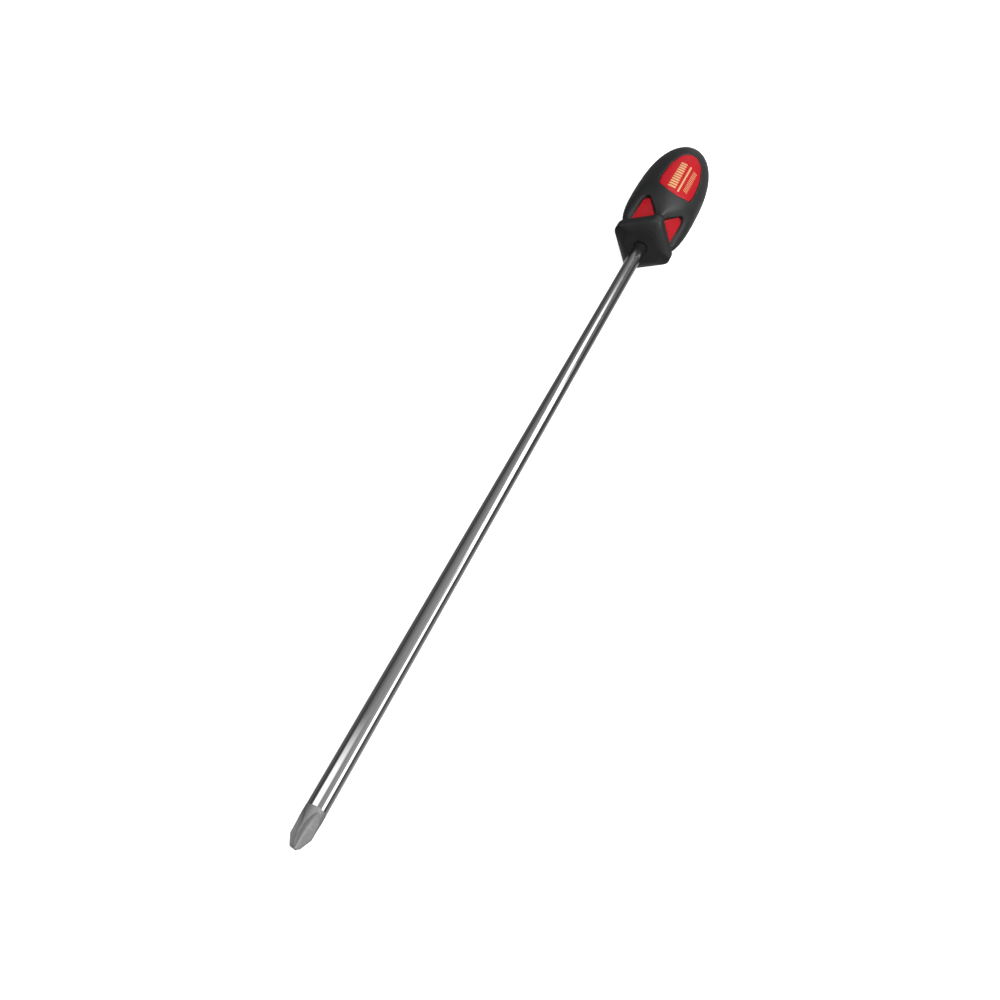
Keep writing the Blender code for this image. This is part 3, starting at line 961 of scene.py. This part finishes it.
def ramp(nodes, links, value, stops):
    """A smooth curve through (value, level) stops, with levels between 0 and 2."""
    low, high = stops[0][0], stops[-1][0]
    place = spread(nodes, links, value, low, high, 0.0, 1.0)
    node = nodes.new("ShaderNodeValToRGB")
    links.new(place, node.inputs["Fac"])
    elements = node.color_ramp.elements
    elements.remove(elements[-1])
    for k, (at, level) in enumerate(stops):
        element = elements[0] if k == 0 else elements.new((at - low) / (high - low))
        element.position = (at - low) / (high - low)
        element.color = (level / 2, level / 2, level / 2, 1.0)
    return calculate(nodes, links, "MULTIPLY", node.outputs["Color"], 2.0)


def calculate(nodes, links, operation, *values):
    node = nodes.new("ShaderNodeMath")
    node.operation = operation
    for socket, value in zip(node.inputs, values):
        if isinstance(value, float):
            socket.default_value = value
        else:
            links.new(value, socket)
    return node.outputs[0]


def make_world():
    """A dark studio with long cards beside the tool, at roll angles about the tool's axis."""
    world = bpy.data.worlds.new("studio")
    bpy.context.scene.world = world
    world.use_nodes = True
    nodes, links = world.node_tree.nodes, world.node_tree.links
    coords = nodes.new("ShaderNodeTexCoord")
    split = nodes.new("ShaderNodeSeparateXYZ")
    links.new(coords.outputs["Generated"], split.inputs["Vector"])
    along, side, up = split.outputs

    def curve(value, stops):
        return ramp(nodes, links, value, stops)

    def sums(operation, *values):
        return calculate(nodes, links, operation, *values)

    roll = sums("MULTIPLY", sums("ARCTAN2", side, up), 180 / math.pi)

    # The long lamp leans over the tool: its roll angle depends on the direction along the tool
    upright, leaning = LAMP_LEAN_ROLL
    lamp_roll = sums("MULTIPLY_ADD", curve(along, LAMP_LEAN), leaning - upright, upright)
    off_lamp = sums("SUBTRACT", roll, lamp_roll)
    lamp = sums("MULTIPLY", curve(off_lamp, LAMP), LAMP_LEVEL)
    lamp = sums("MULTIPLY", lamp, curve(along, LAMP_POWER))

    left, right = curve(roll, LEFT_CARDS), curve(roll, RIGHT_CARDS)
    past_lamp = spread(nodes, links, off_lamp, *PAST_LAMP, 0.0, 1.0)
    total = sums("ADD", left, sums("MULTIPLY", sums("SUBTRACT", right, left), past_lamp))
    front_card = sums("MULTIPLY", curve(roll, FRONT_CARD), curve(along, FRONT_CARD_SPAN))
    span = sums("ADD", curve(along, OVERHEAD_CARD_SPAN), curve(along, OVERHEAD_CARD_BACK_SPAN))
    overhead = sums("MULTIPLY", curve(roll, OVERHEAD_CARD), span)
    for light in (lamp, front_card, overhead):
        total = sums("ADD", total, light)
    links.new(total, nodes["Background"].inputs["Color"])
    nodes["Background"].inputs["Strength"].default_value = 1.0


def staged(name, bm):
    """A piece of the stage that doesn't show in the tool's reflections."""
    mesh = bpy.data.meshes.new(name)
    bm.to_mesh(mesh)
    bm.free()
    mesh.materials.append(floor_material())
    piece = bpy.data.objects.new(name, mesh)
    bpy.context.scene.collection.objects.link(piece)
    piece.visible_glossy = False
    piece.visible_diffuse = False
    return piece


def make_floor():
    """A wide pale floor that the tool lies on, touching it at the palm swell and at the tip."""
    belly = Vector((HANDLE - PALM_DEPTH, 0.0, grip_low.z))
    heel = Vector((TIP_X - HEEL_DEPTH, 0.0, -SHANK_RADIUS))
    slope = math.atan2(heel.z - belly.z, heel.x - belly.x)
    bm = bmesh.new()
    bmesh.ops.create_grid(bm, x_segments=FLOOR_GRID, y_segments=FLOOR_GRID, size=FLOOR_REACH)
    floor = staged("floor", bm)
    floor.location = belly - Vector((0, 0, FLOOR_GAP))
    floor.rotation_euler.y = -slope


def make_wall():
    """A plain pale wall all round, far from the tool, that neither lights nor shades it."""
    bm = bmesh.new()
    bmesh.ops.create_cone(
        bm, segments=WALL_SIDES, radius1=WALL_RADIUS, radius2=WALL_RADIUS, depth=WALL_HEIGHT
    )
    bmesh.ops.reverse_faces(bm, faces=bm.faces)
    wall = staged("wall", bm)
    wall.location = (HANDLE, 0, 0)
    wall.visible_shadow = False


def make_camera():
    data = bpy.data.cameras.new("camera")
    data.lens = CAMERA_LENS
    data.sensor_width = SENSOR
    data.clip_start = CAMERA_NEAR
    camera = bpy.data.objects.new("camera", data)
    bpy.context.scene.collection.objects.link(camera)
    look = Vector(CAMERA_AIM) - Vector(CAMERA_PLACE)
    turn = look.to_track_quat("-Z", "Y").to_matrix().to_4x4()
    roll = Matrix.Rotation(CAMERA_ROLL, 4, "Z")
    camera.matrix_world = Matrix.Translation(CAMERA_PLACE) @ turn @ roll
    bpy.context.scene.camera = camera


bpy.context.scene.view_settings.view_transform = "Standard"
make_camera()
make_world()
make_floor()
make_wall()

black_rubber = rubber_material("black_rubber", RUBBER, DUSTY_RUBBER, 0.42)
# The front face's rubber: rougher than the rest, and darker as painted shade
shaded_face_rubber = rubber_material("shaded_face_rubber", SHADED_FACE_RUBBER, DUSTY_SHADED_FACE_RUBBER, 0.6)
pieces = (
    (make_grip(black_rubber, shaded_face_rubber), "grip", "grip"),
    (make_core(plastic_material()), "handle_core", "handle_core"),
    (make_blade(chrome_material(), bare_steel_material()), "blade", "blade"),
)
for piece, node, slot in pieces:
    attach(piece, "root")
    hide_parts(node)
foil = make_foil(foil_material())
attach(foil, "root")
